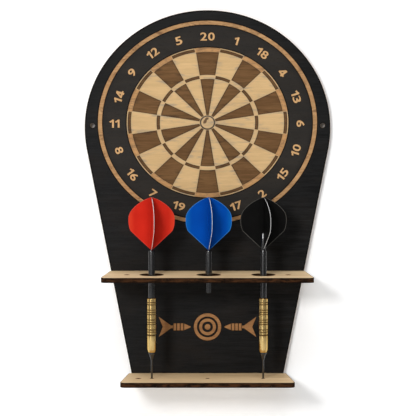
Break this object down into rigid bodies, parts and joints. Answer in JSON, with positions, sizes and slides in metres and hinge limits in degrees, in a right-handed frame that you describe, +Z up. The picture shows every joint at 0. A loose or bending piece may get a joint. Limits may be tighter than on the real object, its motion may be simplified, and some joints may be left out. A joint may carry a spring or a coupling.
{
  "type": "wall-hung dart holder",
  "caption": "Arched plywood wall panel with an engraved round dart face, tapering down to two shelves that hold upright soft-tip darts.",
  "frame": {"origin": "on the back face of the panel, which lies on the wall, half way between the two wall-screw holes", "axes": "+X to the right as seen from the front, +Y into the wall, +Z up"},
  "size_m": [0.1996, 0.054, 0.3054],
  "materials": {
    "black_stained_ply": "black stained birch plywood, laser engraved",
    "birch_ply": "raw birch plywood with laser-burnt edges",
    "turned_brass": "turned and grooved brass",
    "black_nylon": "moulded black nylon",
    "red_film": "satin red polyester film",
    "blue_film": "satin blue polyester film",
    "black_film": "satin black polyester film"
  },
  "bodies": {
    "holder": {"back_panel": "black_stained_ply", "upper_shelf": "birch_ply", "lower_shelf": "birch_ply"},
    "red_dart": {"red_flight": "red_film", "red_stem": "black_nylon", "red_barrel": "turned_brass", "red_tip": "black_nylon"},
    "blue_dart": {"blue_flight": "blue_film", "blue_stem": "black_nylon"},
    "black_dart": {"black_flight": "black_film", "black_stem": "black_nylon", "black_barrel": "turned_brass", "black_tip": "black_nylon"}
  },
  "joints": [
    {"name": "red_dart_lift", "type": "slide", "parent": "holder", "child": "red_dart", "axis": [0, 0, 1], "range_m": [0, 0.095]},
    {"name": "blue_dart_lift", "type": "slide", "parent": "holder", "child": "blue_dart", "axis": [0, 0, 1], "range_m": [0, 0.025]},
    {"name": "black_dart_lift", "type": "slide", "parent": "holder", "child": "black_dart", "axis": [0, 0, 1], "range_m": [0, 0.095]}
  ]
}
